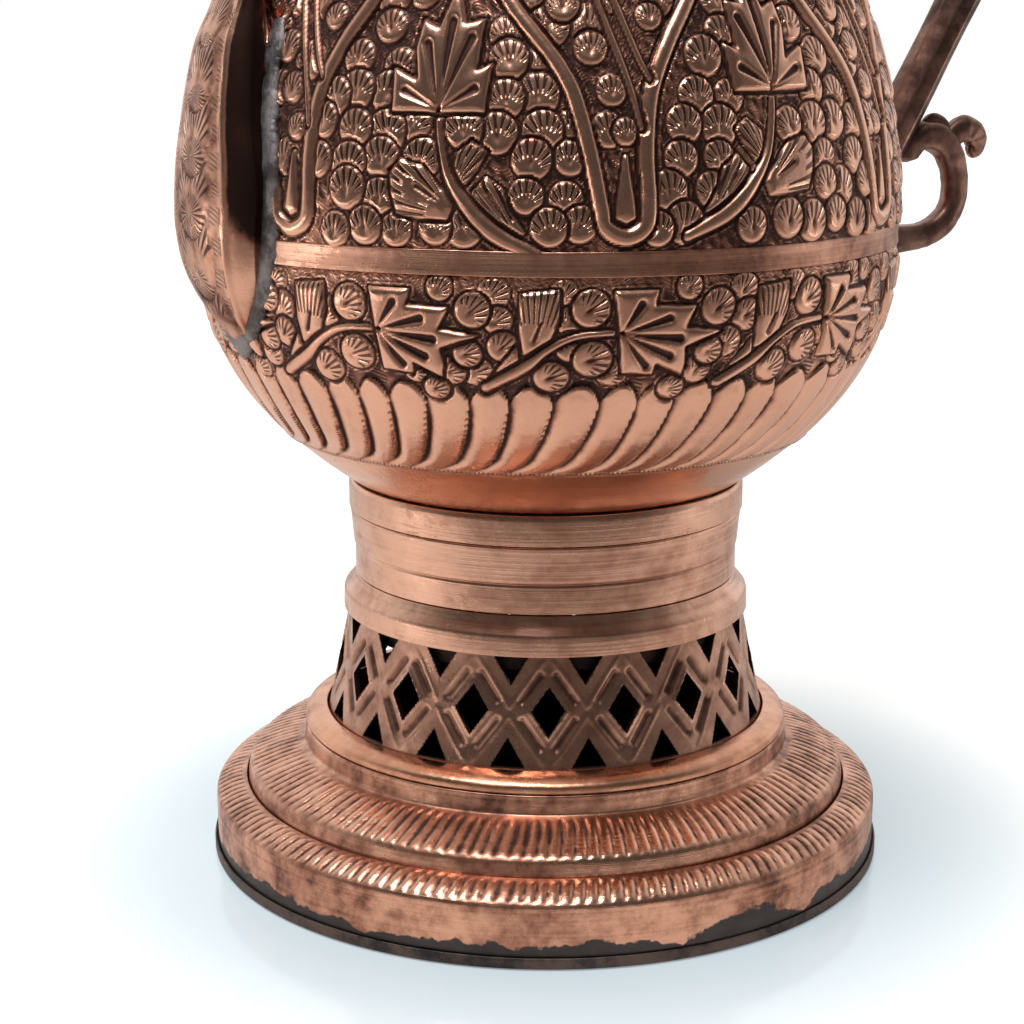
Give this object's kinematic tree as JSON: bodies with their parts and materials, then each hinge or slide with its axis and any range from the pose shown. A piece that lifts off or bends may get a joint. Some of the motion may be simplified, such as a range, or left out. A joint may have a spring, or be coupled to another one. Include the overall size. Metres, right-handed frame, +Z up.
{
  "type": "copper samovar jug",
  "caption": "Tall chased copper jug with a pierced fire stand, a central fire tube, a slim spout, a barred scroll handle and a hinged lid.",
  "frame": {"origin": "middle of the flat underside of the bottom plate", "axes": "+Z up along the fire tube; the spout points along -X, and the handle stands on the +X side, turned 8 degrees towards -Y"},
  "size_m": [0.2974, 0.1918, 0.4247],
  "materials": {
    "copper_chased": "chased and stippled copper, dark patina in the cut lines, worn bright on the raised places",
    "copper_plain": "plain turned copper, softly polished, fine lathe lines and light brown tarnish",
    "copper_cast": "hand-filed cast copper alloy, brown patina, brighter along its edges",
    "tin_solder": "dull grey tin, smeared and slightly lumpy",
    "fire_iron": "sooty black iron"
  },
  "bodies": {
    "stand_and_vessel": {"lower_belly": "copper_chased", "upper_body": "copper_chased", "mouth_cup": "copper_chased", "spout": "copper_chased", "foot_lower_tier": "copper_plain", "foot_upper_tier": "copper_plain", "gallery_collar": "copper_plain", "gallery_top_ring": "copper_plain", "stand_neck": "copper_plain", "vessel_collar": "copper_plain", "belly_band": "copper_plain", "vessel_floor": "copper_plain", "fire_tube": "copper_plain", "mouth_rim": "copper_plain", "pierced_gallery": "copper_cast", "neck_ring": "copper_cast", "spout_lip": "copper_cast", "handle_palm": "copper_cast", "handle_bar": "copper_cast", "handle_scroll": "copper_cast", "handle_bracket": "copper_cast", "hinge_block": "copper_cast", "hinge_pin": "copper_cast", "bracket_rivet_left": "copper_cast", "bracket_rivet_right": "copper_cast", "hinge_rivet_left": "copper_cast", "hinge_rivet_right": "copper_cast", "bottom_plate": "tin_solder", "spout_solder": "tin_solder", "grate_seat": "fire_iron", "fire_grate": "fire_iron"},
    "lid": {"lid": "copper_chased", "lid_sleeve": "copper_plain", "lid_knob": "copper_cast", "lid_hinge_leaf": "copper_cast", "lid_rivet_left": "copper_cast", "lid_rivet_right": "copper_cast"},
    "cap": {"chimney_cap": "copper_chased", "cap_finial": "copper_cast"}
  },
  "joints": [
    {"name": "lid_hinge", "type": "hinge", "parent": "stand_and_vessel", "child": "lid", "pos_m": [0.07165, -0.01007, 0.3498], "axis": [0.1392, 0.9903, 0], "range_deg": [0, 105]},
    {"name": "cap_lift", "type": "slide", "parent": "lid", "child": "cap", "axis": [0, 0, 1], "range_m": [0, 0.05]}
  ]
}
